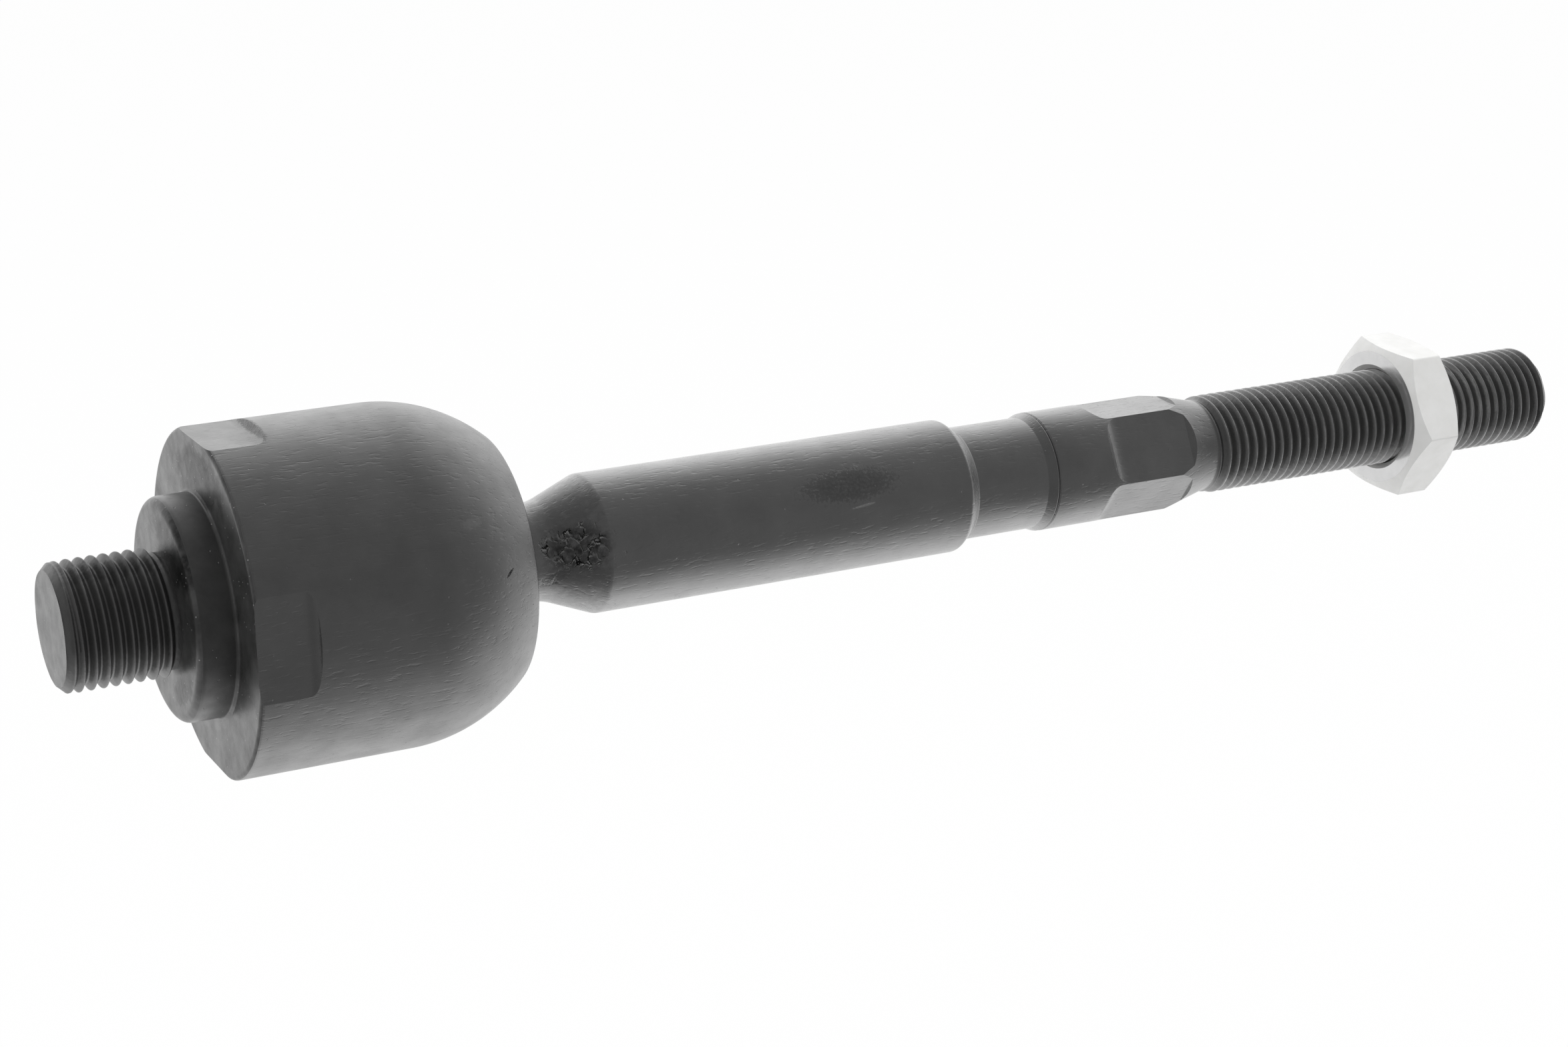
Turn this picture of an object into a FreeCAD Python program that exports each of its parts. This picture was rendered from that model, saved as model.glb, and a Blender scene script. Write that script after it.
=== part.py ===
import FreeCAD, Part
import math
import os

# Inner tie rod. Millimetres.
# X runs along the rod: the rack stud points to -X and the outer thread to +X.
# The origin is the centre of the shoulder face that seats against the steering rack.
# Z is square to one pair of the socket's wrench flats.

os.makedirs("parts", exist_ok=True)

# Rack stud, M16 x 1.5, drawn at its major diameter
STUD_D = 16.0
STUD_LENGTH = 13.8
STUD_CHAMFER = 0.9

# Shoulder between the stud and the socket
SHOULDER_D = 27.8
SHOULDER_LENGTH = 5.0
SHOULDER_EDGE_R = 1.2
SHOULDER_ROOT_R = 0.5

# Ball, and how its centre lies from the shoulder's face
BALL_D = 28.0
BALL_X = 27.6
BALL_CLEARANCE = 0.05

# Liner round the ball: a cup behind it and a shell in front, both in the socket's bore
LINER_WALL = 2.35
CUP_CLEARANCE = 0.05
CUP_BASE = 2.25
CUP_CHAMFER = 1.0
CUP_FRONT_BEHIND_BALL = 2.2
SHELL_REAR_BEHIND_BALL = 1.6
SHELL_NOSE_GAP = 0.36
SHELL_NOSE_WIDTH = 2.2

# Coned washer behind the cup
SPRING_RIM_GAP = 0.9
SPRING_INNER_D = 13.0
SPRING_THICKNESS = 0.9
SPRING_RISE = 0.75
SPRING_SEAT_GAP = 0.05

# Socket: a cylinder round the liner, closed by a dome about the ball's centre
SOCKET_WALL = 5.4
SOCKET_REAR_R = 0.6
MOUTH_GRIP = 1.8
MOUTH_FLARE = 1.1
LIP_LENGTH = 3.84
LIP_R = 1.1

# Four wrench flats at the socket's rear
SOCKET_FLAT_DEPTH = 1.0
SOCKET_FLAT_LENGTH = 8.3
SOCKET_FLAT_CORNER_R = 2.6
SOCKET_FLAT_RUNOUT_R = 0.9

# Rod: neck and cone, up to the thick shaft
NECK_D = 12.6
NECK_BALL_R = 1.5
NECK_CONE_R = 7.5
CONE_SLOPE = 0.40
SHAFT_FROM_BALL = 27.6
SHAFT_D = 18.24
SHAFT_LENGTH = 53.0
SHAFT_EDGE_R = 0.8
SHAFT_CHAMFER_LENGTH = 1.8

# Boot seat, and the collar in front of it with its fine turned line
BOOT_SEAT_D = 15.44
BOOT_SEAT_LENGTH = 11.0
FLARE_LENGTH = 1.3
GROOVE_WIDTH = 0.4
GROOVE_DEPTH = 0.3
COLLAR_D = 16.5
COLLAR_LENGTH = 9.5

# Wrench hexagon: two faces are wider than the other four
HEX_LENGTH = 13.2
HEX_WIDE_AF = 13.56
HEX_NARROW_AF = 14.64
HEX_TURN_DEG = 154.6
HEX_SPACING_DEG = 62.5

# Taper from the hexagon down to the outer thread's root
TAPER_OVERLAP = 2.1
TAPER_LENGTH = 6.6
TAPER_END_D = 13.1

# Outer thread, M14 x 1.5, drawn at its major diameter
THREAD_D = 14.0
THREAD_RUN_IN = 0.8
THREAD_LENGTH = 59.4
THREAD_CHAMFER = 1.3

# Jam nut on the outer thread
NUT_AF = 21.0
NUT_FROM_THREAD_START = 31.7
NUT_THICKNESS = 7.5
NUT_FACE_WIDTH = 19.4
NUT_CHAMFER_DEG = 30.0
NUT_CLEARANCE = 0.06
NUT_COUNTERSINK = 0.7
NUT_TURN_DEG = 35.2

# Radii about the ball's centre, from the ball outwards
BALL_SEAT_R = BALL_D / 2 + BALL_CLEARANCE
BORE_R = BALL_SEAT_R + LINER_WALL
SOCKET_R = BORE_R + SOCKET_WALL
MOUTH_R = BALL_D / 2 - MOUTH_GRIP

# Places along the rod, from the rack end
CUP_REAR_X = BALL_X - BALL_SEAT_R - CUP_BASE
BORE_FLOOR_X = CUP_REAR_X - SPRING_SEAT_GAP - SPRING_RISE - SPRING_THICKNESS
SHAFT_START_X = BALL_X + SHAFT_FROM_BALL
SHAFT_END_X = SHAFT_START_X + SHAFT_LENGTH
BOOT_SEAT_X = SHAFT_END_X + SHAFT_CHAMFER_LENGTH
BOOT_SEAT_END_X = BOOT_SEAT_X + BOOT_SEAT_LENGTH
COLLAR_X = BOOT_SEAT_END_X + FLARE_LENGTH
HEX_START_X = COLLAR_X + COLLAR_LENGTH
HEX_END_X = HEX_START_X + HEX_LENGTH
TAPER_START_X = HEX_END_X - TAPER_OVERLAP
TAPER_END_X = TAPER_START_X + TAPER_LENGTH
THREAD_START_X = TAPER_END_X + THREAD_RUN_IN
THREAD_END_X = THREAD_START_X + THREAD_LENGTH
NUT_REAR_X = THREAD_START_X + NUT_FROM_THREAD_START

X_AXIS = FreeCAD.Vector(1, 0, 0)
ORIGIN = FreeCAD.Vector(0, 0, 0)
SAME = 0.01
CUT_OVERRUN = 5.0


def flat_point(x, r):
    """A point of a turning profile, which is drawn in the XZ plane."""
    return FreeCAD.Vector(x, 0, r)


def turned(*steps):
    """Turn a closed profile about X. A step is (x, r), or (x, r, x_mid, r_mid) for an arc to (x, r)."""
    edges = []
    here = flat_point(*steps[0])
    for step in steps[1:]:
        there = flat_point(*step[:2])
        if len(step) == 4:
            edges.append(Part.Arc(here, flat_point(*step[2:]), there).toShape())
        else:
            edges.append(Part.makeLine(here, there))
        here = there
    start = flat_point(*steps[0][:2])
    if here.distanceToPoint(start) > SAME / 100:
        edges.append(Part.makeLine(here, start))
    face = Part.Face(Part.Wire(edges))
    return face.revolve(ORIGIN, X_AXIS, 360)


def sphere_r(radius, reach):
    """Radius of a sphere's section at a distance from its centre, or the distance at a radius."""
    return math.sqrt(radius ** 2 - reach ** 2)


def sphere_step(radius, reach_from, reach_to):
    """Arc step along a sphere about the ball's centre, between two distances along X."""
    middle = (reach_from + reach_to) / 2
    end = (BALL_X + reach_to, sphere_r(radius, reach_to))
    return end + (BALL_X + middle, sphere_r(radius, middle))


def rings_at(shape, places):
    """The circular edges centred on the axis at the given (x, r)."""
    found = []
    for edge in shape.Edges:
        if edge.Degenerated:
            continue
        curve = edge.Curve
        if not isinstance(curve, Part.Circle):
            continue
        for x, r in places:
            if abs(curve.Center.x - x) < SAME and abs(curve.Radius - r) < SAME:
                found.append(edge)
    return found


def rounded(shape, radius, *places):
    """Round the circular edges at the given (x, r)."""
    return shape.makeFillet(radius, rings_at(shape, places))


def spun(shape, degrees):
    """A copy turned about X, counted from +Y towards +Z."""
    copy = shape.copy()
    copy.rotate(ORIGIN, X_AXIS, degrees)
    return copy


def socket():
    """One forging: rack stud, shoulder, socket and the dome swaged over the ball."""
    stud_r = STUD_D / 2
    shoulder_r = SHOULDER_D / 2
    mouth_reach = sphere_r(BORE_R, MOUTH_R)
    front_reach = mouth_reach + LIP_LENGTH
    front_x = BALL_X + front_reach
    body = turned(
        (-STUD_LENGTH, 0),
        (-STUD_LENGTH, stud_r - STUD_CHAMFER),
        (-STUD_LENGTH + STUD_CHAMFER, stud_r),
        (0, stud_r),
        (0, shoulder_r),
        (SHOULDER_LENGTH, shoulder_r),
        (SHOULDER_LENGTH, SOCKET_R),
        (BALL_X, SOCKET_R),
        sphere_step(SOCKET_R, 0, front_reach),
        (front_x, MOUTH_R + MOUTH_FLARE),
        (BALL_X + mouth_reach, MOUTH_R),
        sphere_step(BORE_R, mouth_reach, 0),
        (BORE_FLOOR_X, BORE_R),
        (BORE_FLOOR_X, 0),
    )
    body = rounded(body, SHOULDER_EDGE_R, (0, shoulder_r))
    body = rounded(body, SHOULDER_ROOT_R, (SHOULDER_LENGTH, shoulder_r))
    body = rounded(body, SOCKET_REAR_R, (SHOULDER_LENGTH, SOCKET_R))
    body = rounded(body, LIP_R, (front_x, sphere_r(SOCKET_R, front_reach)))
    for turn in (0, 90, 180, 270):
        body = body.cut(spun(flat_cutter(), turn))
    return body


def flat_cutter():
    """The metal that one wrench flat takes off the +Z side of the socket."""
    level = SOCKET_R - SOCKET_FLAT_DEPTH
    half_width = sphere_r(SOCKET_R, level) + SAME
    end_x = SHOULDER_LENGTH + SOCKET_FLAT_LENGTH
    start_x = SHOULDER_LENGTH - CUT_OVERRUN
    corner = FreeCAD.Vector(start_x, -half_width, level)
    block = Part.makeBox(end_x - start_x, 2 * half_width, CUT_OVERRUN, corner)
    corners = []
    for edge in block.Edges:
        ends = [vertex.Point for vertex in edge.Vertexes]
        upright = abs(ends[0].z - ends[1].z) > SAME
        if upright and min(point.x for point in ends) > end_x - SAME:
            corners.append(edge)
    block = block.makeFillet(SOCKET_FLAT_CORNER_R, corners)
    floor_end = []
    for edge in block.Edges:
        box = edge.BoundBox
        if box.ZMax < level + SAME and box.XMin > end_x - SOCKET_FLAT_CORNER_R - SAME:
            floor_end.append(edge)
    return block.makeFillet(SOCKET_FLAT_RUNOUT_R, floor_end)


def bearing_shell():
    """Front bearing: fills the socket's dome round the ball, up to the mouth."""
    rear_reach = -SHELL_REAR_BEHIND_BALL
    nose_reach = sphere_r(BORE_R, MOUTH_R) - SHELL_NOSE_GAP
    seat_reach = nose_reach - SHELL_NOSE_WIDTH
    rear_x = BALL_X + rear_reach
    return turned(
        (rear_x, sphere_r(BALL_SEAT_R, rear_reach)),
        (rear_x, BORE_R),
        (BALL_X, BORE_R),
        sphere_step(BORE_R, 0, nose_reach),
        (BALL_X + seat_reach, sphere_r(BALL_SEAT_R, seat_reach)),
        sphere_step(BALL_SEAT_R, seat_reach, rear_reach),
    )


def seat_cup():
    """Rear bearing: a cup behind the ball that slides and turns in the socket's bore."""
    cup_r = BORE_R - CUP_CLEARANCE
    front_reach = -CUP_FRONT_BEHIND_BALL
    front_x = BALL_X + front_reach
    return turned(
        (CUP_REAR_X, 0),
        (CUP_REAR_X, cup_r - CUP_CHAMFER),
        (CUP_REAR_X + CUP_CHAMFER, cup_r),
        (front_x, cup_r),
        (front_x, sphere_r(BALL_SEAT_R, front_reach)),
        sphere_step(BALL_SEAT_R, front_reach, -BALL_SEAT_R),
    )


def disc_spring():
    """Coned washer: its rim stands on the bore's floor and its inner edge presses the cup."""
    outer_r = BORE_R - SPRING_RIM_GAP
    inner_r = SPRING_INNER_D / 2
    inner_x = BORE_FLOOR_X + SPRING_RISE
    return turned(
        (BORE_FLOOR_X, outer_r),
        (BORE_FLOOR_X + SPRING_THICKNESS, outer_r),
        (inner_x + SPRING_THICKNESS, inner_r),
        (inner_x, inner_r),
    )


def hexagon_cutter(af, turn):
    """The metal one hexagon face takes off, ending in a short ramp where the cutter ran out."""
    level = af / 2
    top = level + CUT_OVERRUN
    outline = [
        FreeCAD.Vector(HEX_START_X, 0, level),
        FreeCAD.Vector(HEX_END_X, 0, level),
        FreeCAD.Vector(HEX_END_X + (top - level), 0, top),
        FreeCAD.Vector(HEX_START_X, 0, top),
        FreeCAD.Vector(HEX_START_X, 0, level),
    ]
    face = Part.Face(Part.makePolygon(outline))
    face.translate(FreeCAD.Vector(0, -COLLAR_D, 0))
    return spun(face.extrude(FreeCAD.Vector(0, 2 * COLLAR_D, 0)), turn - 90)


def rod():
    """One forging: ball, neck, cone, shaft, boot seat, collar, wrench hexagon and outer thread."""
    ball_r = BALL_D / 2
    neck_r = NECK_D / 2
    shaft_r = SHAFT_D / 2
    seat_r = BOOT_SEAT_D / 2
    collar_r = COLLAR_D / 2
    thread_r = THREAD_D / 2
    neck_reach = sphere_r(ball_r, neck_r)
    cone_x = SHAFT_START_X - (shaft_r - neck_r) / CONE_SLOPE
    body = turned(
        (BALL_X - ball_r, 0),
        sphere_step(ball_r, -ball_r, neck_reach),
        (cone_x, neck_r),
        (SHAFT_START_X, shaft_r),
        (SHAFT_END_X, shaft_r),
        (BOOT_SEAT_X, seat_r),
        (BOOT_SEAT_END_X, seat_r),
        (COLLAR_X, collar_r),
        (COLLAR_X + GROOVE_WIDTH / 2, collar_r - GROOVE_DEPTH),
        (COLLAR_X + GROOVE_WIDTH, collar_r),
        (TAPER_START_X, collar_r),
        (TAPER_END_X, TAPER_END_D / 2),
        (THREAD_START_X, thread_r),
        (THREAD_END_X - THREAD_CHAMFER, thread_r),
        (THREAD_END_X, thread_r - THREAD_CHAMFER),
        (THREAD_END_X, 0),
    )
    body = rounded(body, NECK_BALL_R, (BALL_X + neck_reach, neck_r))
    body = rounded(body, NECK_CONE_R, (cone_x, neck_r))
    body = rounded(body, SHAFT_EDGE_R, (SHAFT_START_X, shaft_r), (SHAFT_END_X, shaft_r))
    for half_turn in (0, 180):
        wide = HEX_TURN_DEG + half_turn
        body = body.cut(hexagon_cutter(HEX_WIDE_AF, wide))
        body = body.cut(hexagon_cutter(HEX_NARROW_AF, wide - HEX_SPACING_DEG))
        body = body.cut(hexagon_cutter(HEX_NARROW_AF, wide + HEX_SPACING_DEG))
    return body


def jam_nut():
    """Thin hexagon nut with both ends chamfered; its bore is the thread plus a clearance."""
    corner_r = NUT_AF / 2 / math.cos(math.radians(30))
    bore_r = THREAD_D / 2 + NUT_CLEARANCE
    face_r = NUT_FACE_WIDTH / 2
    over_r = corner_r + SAME
    drop = (over_r - face_r) * math.tan(math.radians(NUT_CHAMFER_DEG))
    front_x = NUT_REAR_X + NUT_THICKNESS
    corners = []
    for step in range(7):
        angle = math.radians(30 + 60 * step)
        y = corner_r * math.cos(angle)
        z = corner_r * math.sin(angle)
        corners.append(FreeCAD.Vector(NUT_REAR_X, y, z))
    prism = Part.Face(Part.makePolygon(corners)).extrude(FreeCAD.Vector(NUT_THICKNESS, 0, 0))
    envelope = turned(
        (NUT_REAR_X, bore_r + NUT_COUNTERSINK),
        (NUT_REAR_X, face_r),
        (NUT_REAR_X + drop, over_r),
        (front_x - drop, over_r),
        (front_x, face_r),
        (front_x, bore_r + NUT_COUNTERSINK),
        (front_x - NUT_COUNTERSINK, bore_r),
        (NUT_REAR_X + NUT_COUNTERSINK, bore_r),
    )
    return spun(prism.common(envelope), NUT_TURN_DEG)


def save(name, shape):
    """Write one piece, after checking that it is a single solid."""
    solids = shape.Solids
    if len(solids) != 1:
        raise ValueError(name + " should be one solid, not " + str(len(solids)))
    solids[0].exportStep("parts/" + name + ".step")
    box = solids[0].BoundBox
    print(name, "volume", round(solids[0].Volume, 1), "valid", solids[0].isValid())
    print("  x", round(box.XMin, 2), round(box.XMax, 2), "z", round(box.ZMin, 2), round(box.ZMax, 2))


save("socket", socket())
save("bearing_shell", bearing_shell())
save("seat_cup", seat_cup())
save("disc_spring", disc_spring())
save("rod", rod())
save("jam_nut", jam_nut())
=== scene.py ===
# %% [markdown]
# An inner tie rod joins a car's steering rack to the outer tie rod end. Three pieces carry its
# look: a ball socket with a short rack stud, a long rod with a rolled thread, and a thin jam nut.
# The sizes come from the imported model, which is loaded first and never moved. What Blender adds is
# what turned and forged pieces show up close: real screw threads, soft edges and steel finishes.

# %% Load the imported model
import bmesh
import bpy
import math
from mathutils import Matrix, Vector


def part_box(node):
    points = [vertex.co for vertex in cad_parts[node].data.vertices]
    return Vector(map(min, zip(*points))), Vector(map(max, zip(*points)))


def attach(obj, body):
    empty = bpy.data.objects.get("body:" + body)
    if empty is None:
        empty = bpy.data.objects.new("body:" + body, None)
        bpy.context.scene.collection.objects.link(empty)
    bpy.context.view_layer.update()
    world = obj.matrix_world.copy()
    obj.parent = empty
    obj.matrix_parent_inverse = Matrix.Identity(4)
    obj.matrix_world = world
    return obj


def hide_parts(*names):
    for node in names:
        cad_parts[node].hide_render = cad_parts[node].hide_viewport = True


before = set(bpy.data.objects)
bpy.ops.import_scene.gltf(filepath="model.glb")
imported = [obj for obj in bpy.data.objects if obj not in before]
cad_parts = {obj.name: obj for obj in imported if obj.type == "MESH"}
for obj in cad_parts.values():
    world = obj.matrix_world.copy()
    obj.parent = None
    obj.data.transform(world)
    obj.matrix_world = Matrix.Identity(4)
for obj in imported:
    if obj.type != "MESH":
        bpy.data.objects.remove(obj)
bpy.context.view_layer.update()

# %% [markdown]
# The camera comes first, because every later choice is checked against its picture. The photograph
# was taken with a short tele lens from the side, near the rack stud's end and above it. The
# camera's place was worked out by fitting the turned circles of the rod, so it is given here as a
# point and two directions.

# %% Camera
PHOTO_WIDTH = 2349
FOCAL_LENGTH_PX = 4450
SENSOR_WIDTH_MM = 36.0
CAMERA_PLACE = Vector((-0.08831, -0.33774, 0.11235))
CAMERA_RIGHT = Vector((0.88836, -0.45892, -0.01476))
CAMERA_UP = Vector((0.14475, 0.24942, 0.95752))
TO_CAMERA = CAMERA_RIGHT.cross(CAMERA_UP)

camera_data = bpy.data.cameras.new("camera")
camera_data.sensor_width = SENSOR_WIDTH_MM
camera_data.lens = FOCAL_LENGTH_PX / PHOTO_WIDTH * SENSOR_WIDTH_MM
camera_data.clip_start = 0.01
camera_data.clip_end = 50
camera = bpy.data.objects.new("camera", camera_data)
bpy.context.scene.collection.objects.link(camera)
turn = Matrix((CAMERA_RIGHT, CAMERA_UP, TO_CAMERA)).transposed()
camera.matrix_world = Matrix.Translation(CAMERA_PLACE) @ turn.to_4x4()
bpy.context.scene.camera = camera
print("lens in mm:", round(camera_data.lens, 1))

# %% [markdown]
# Most of the part is turned, so each forging starts as half its section: an outline in the plane
# of X and Z, drawn with a pen. The pen lays straight edges from point to point, and a round
# stretch is its tip spun about the arc's centre. A corner is rounded by bevelling its vertex.
# Drawing is done in millimetres, the unit of a workshop drawing, and each shape is scaled to
# metres at the end.

# %% Outline pen
MM = 0.001
SAME = 0.002
ROUND_STEPS = 9
ROD_AXIS = Vector((1, 0, 0))
SECTION_NORMAL = Vector((0, 1, 0))


class Pen:
    """Draws an outline as one chain of edges through (x, r)."""

    def __init__(self, x, r):
        self.shape = bmesh.new()
        self.start = self.shape.verts.new((x, 0, r))
        self.tip = self.start

    def line(self, *points):
        """Straight edges from the tip through more (x, r)."""
        for x, r in points:
            vertex = self.shape.verts.new((x, 0, r))
            self.shape.edges.new((self.tip, vertex))
            self.tip = vertex

    def arc(self, centre_x, degrees, steps):
        """Spin the tip about a centre on the axis. Positive degrees go from -X over +Z to +X."""
        made = bmesh.ops.spin(
            self.shape, geom=[self.tip], cent=(centre_x, 0, 0), axis=SECTION_NORMAL,
            angle=math.radians(degrees), steps=steps, dvec=(0, 0, 0))
        self.tip = made["geom_last"][0]

    def close(self):
        """Join the tip to the start."""
        self.shape.edges.new((self.tip, self.start))

    def round(self, radius, *places, segments=ROUND_STEPS):
        """Replace the corners at the given (x, r) by arcs of a radius."""
        for x, r in places:
            place = Vector((x, 0, r))
            corner = min(self.shape.verts, key=lambda vertex: (vertex.co - place).length)
            before, after = [edge.other_vert(corner).co - corner.co for edge in corner.link_edges]
            half_turn = (math.pi - before.angle(after)) / 2
            bmesh.ops.bevel(
                self.shape, geom=[corner], offset=radius * math.tan(half_turn),
                offset_type="OFFSET", affect="VERTICES", segments=segments, profile=0.5,
                material=-1, clamp_overlap=False)


def reach(radius, other):
    """A sphere's radius at a distance from its centre, or the distance at a radius."""
    return math.sqrt(radius ** 2 - other ** 2)


# %% [markdown]
# The lathe spins an outline once about the rod's axis. 144 steps keep the faces 2.5 degrees apart,
# so the silhouette looks round in a close view. The spin leaves a double seam where it started and
# many points where the outline touches the axis, so doubles are merged before the faces are turned
# outwards.

# %% Lathe
BODY_STEPS = 144


def clean(shape):
    """Merge doubles, drop what has no face, and turn all faces outwards."""
    bmesh.ops.remove_doubles(shape, verts=shape.verts[:], dist=SAME)
    loose = [edge for edge in shape.edges if not edge.link_faces]
    bmesh.ops.delete(shape, geom=loose, context="EDGES")
    loose = [vertex for vertex in shape.verts if not vertex.link_faces]
    bmesh.ops.delete(shape, geom=loose, context="VERTS")
    bmesh.ops.recalc_face_normals(shape, faces=shape.faces[:])


def turned(shape):
    """Spin an outline once about the rod's axis."""
    bmesh.ops.spin(
        shape, geom=shape.verts[:] + shape.edges[:], cent=(0, 0, 0), axis=ROD_AXIS,
        angle=math.tau, steps=BODY_STEPS, dvec=(0, 0, 0), use_merge=True)
    clean(shape)
    return shape


# %% [markdown]
# Screw threads could be a bump pattern, but then the silhouette stays a plain bar, and here the
# silhouette shows every crest. So each thread is a surface: one pitch of the ISO profile, with 60
# degrees between its flanks, is spun once with a small push along X at every step, which is what a
# screw is. Copies of that one turn, each a pitch further on, make the whole thread.

# %% One turn of thread, copied along
PITCH = 1.5
CREST_FLAT = PITCH / 8
THREAD_DEPTH = 0.6134 * PITCH
FLANK_RUN = THREAD_DEPTH * math.tan(math.radians(30))
CORNER_ROUNDING = 0.14
THREAD_STEPS = 72
THREAD_ROUND_STEPS = 2
SPARE_TURNS = 2


def vertices_in(geometry):
    """The vertices among the parts that an operator gives back."""
    return [part for part in geometry if isinstance(part, bmesh.types.BMVert)]


def pitch_outline(major_r, start_x):
    """One pitch of the thread's profile, from the middle of one crest to the next."""
    root_r = major_r - THREAD_DEPTH
    crest_end = CREST_FLAT / 2
    root_start = crest_end + FLANK_RUN
    corners = [(crest_end, major_r), (root_start, root_r)]
    corners += [(PITCH - x, r) for x, r in reversed(corners)]
    pen = Pen(start_x, major_r)
    pen.line(*[(start_x + x, r) for x, r in corners], (start_x + PITCH, major_r))
    flanks = [edge for edge in pen.shape.edges
              if abs(edge.verts[0].co.z - edge.verts[1].co.z) > SAME]
    bmesh.ops.subdivide_edges(pen.shape, edges=flanks, cuts=1)
    pen.round(CORNER_ROUNDING, *[(start_x + x, r) for x, r in corners],
              segments=THREAD_ROUND_STEPS)
    return pen.shape


def endless_thread(major_r, low_x, high_x):
    """A right-hand thread that covers low_x to high_x, with ragged ends beyond them."""
    shape = pitch_outline(major_r, low_x - SPARE_TURNS * PITCH)
    bmesh.ops.spin(
        shape, geom=shape.verts[:] + shape.edges[:], cent=(0, 0, 0), axis=ROD_AXIS,
        angle=math.tau, steps=THREAD_STEPS, dvec=(PITCH / THREAD_STEPS, 0, 0))
    one_turn = shape.verts[:] + shape.edges[:] + shape.faces[:]
    for count in range(1, math.ceil((high_x - low_x) / PITCH) + SPARE_TURNS + 1):
        copied = bmesh.ops.duplicate(shape, geom=one_turn)["geom"]
        bmesh.ops.translate(shape, vec=(PITCH * count, 0, 0), verts=vertices_in(copied))
    bmesh.ops.remove_doubles(shape, verts=shape.verts[:], dist=SAME)
    return shape


# %% [markdown]
# The surface is then shaped as the real one was made. Rolling raises a thread out of a blank of
# smaller diameter, so the thread fades into that blank at its inner end. At the free end the
# groove starts after a short plain lead, and a chamfer takes the first crest off. Two planes cut
# the thread to length and leave it open at both ends.

# %% Fade, chamfer and cut
LEAD_MM = 0.9
LEAD_DROP = 0.1


def smooth_step(value):
    """0 below 0, 1 above 1 and an even S between."""
    value = min(max(value, 0.0), 1.0)
    return value * value * (3 - 2 * value)


def thread(major_r, low_x, high_x, fade_x, fade_length, blank_r, free_x, free_r):
    """A thread from low_x to high_x, fading to blank_r at fade_x and free_r wide at free_x."""
    shape = endless_thread(major_r, low_x, high_x)
    for vertex in shape.verts:
        x, y, z = vertex.co
        radius = math.hypot(y, z)
        share = smooth_step(abs(x - fade_x) / fade_length)
        wanted = blank_r + (radius - blank_r) * share
        filled = smooth_step(2 - abs(x - free_x) / LEAD_MM)
        wanted += (major_r - LEAD_DROP - wanted) * filled
        wanted = min(wanted, free_r + abs(x - free_x))
        vertex.co = (x, y * wanted / radius, z * wanted / radius)
    for place, outward in ((low_x, -1), (high_x, 1)):
        bmesh.ops.bisect_plane(
            shape, geom=shape.verts[:] + shape.edges[:] + shape.faces[:], dist=SAME / 10,
            plane_co=(place, 0, 0), plane_no=(outward, 0, 0), clear_outer=True)
    print("thread of radius", major_r, "has", len(shape.faces), "faces")
    return shape


# %% [markdown]
# Small tools that the pieces share. One is a boolean of two closed shapes. The other gives a body
# its thread: it takes the body's flat cap away, bridges the gap between the two open rings, and
# closes the free end. Booleans run on closed bodies only, so a forging is cut first and gets its
# thread afterwards.

# %% Cutting and joining
def link_object(name, mesh):
    """A new object for a mesh, at the origin of the scene."""
    made = bpy.data.objects.new(name, mesh)
    bpy.context.scene.collection.objects.link(made)
    return made


def cut(shape, tool, operation="DIFFERENCE"):
    """The boolean of two closed shapes, as a new shape."""
    helpers = []
    for part in (shape, tool):
        mesh = bpy.data.meshes.new("helper")
        part.to_mesh(mesh)
        helpers.append(link_object("helper", mesh))
    body, cutter = helpers
    boolean = body.modifiers.new("cut", "BOOLEAN")
    boolean.object = cutter
    boolean.operation = operation
    boolean.solver = "EXACT"
    graph = bpy.context.evaluated_depsgraph_get()
    mesh = bpy.data.meshes.new_from_object(body.evaluated_get(graph))
    result = bmesh.new()
    result.from_mesh(mesh)
    bpy.data.meshes.remove(mesh)
    for helper in helpers:
        data = helper.data
        bpy.data.objects.remove(helper)
        bpy.data.meshes.remove(data)
    return result


def ring_at(shape, x):
    """The open edges that lie in the plane at x."""
    return [edge for edge in shape.edges
            if edge.is_boundary and all(abs(vertex.co.x - x) < SAME for vertex in edge.verts)]


def fit_thread(shape, threaded, cap_x, cap_r, root_x, end_x):
    """Put a thread that runs from root_x to end_x in place of a body's flat cap."""
    cap = [face for face in shape.faces
           if all(abs(v.co.x - cap_x) < SAME and math.hypot(v.co.y, v.co.z) < cap_r + SAME
                  for v in face.verts)]
    bmesh.ops.delete(shape, geom=cap, context="FACES")
    mesh = bpy.data.meshes.new("helper")
    threaded.to_mesh(mesh)
    shape.from_mesh(mesh)
    bpy.data.meshes.remove(mesh)
    bmesh.ops.bridge_loops(shape, edges=ring_at(shape, cap_x) + ring_at(shape, root_x))
    bmesh.ops.edgeloop_fill(shape, edges=ring_at(shape, end_x))
    bmesh.ops.recalc_face_normals(shape, faces=shape.faces[:])


# %% [markdown]
# A finished shape gets its shading and its materials here. A crisp edge is found by its angle:
# turned faces are under 12 degrees apart, so a larger angle is a real edge, and threads are
# allowed 40 because their small roundings have only a few faces. Which finish a face gets is a
# rule on its place.

# %% Finishing a piece
CRISP_DEG = 12
THREAD_CRISP_DEG = 40


def shade(shape, is_thread):
    """Smooth shading, with crisp edges where two faces meet at a real angle."""
    for face in shape.faces:
        face.smooth = True
    for edge in shape.edges:
        on_thread = all(is_thread(vertex.co) for vertex in edge.verts)
        limit = THREAD_CRISP_DEG if on_thread else CRISP_DEG
        edge.smooth = edge.calc_face_angle(0) < math.radians(limit)


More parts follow.
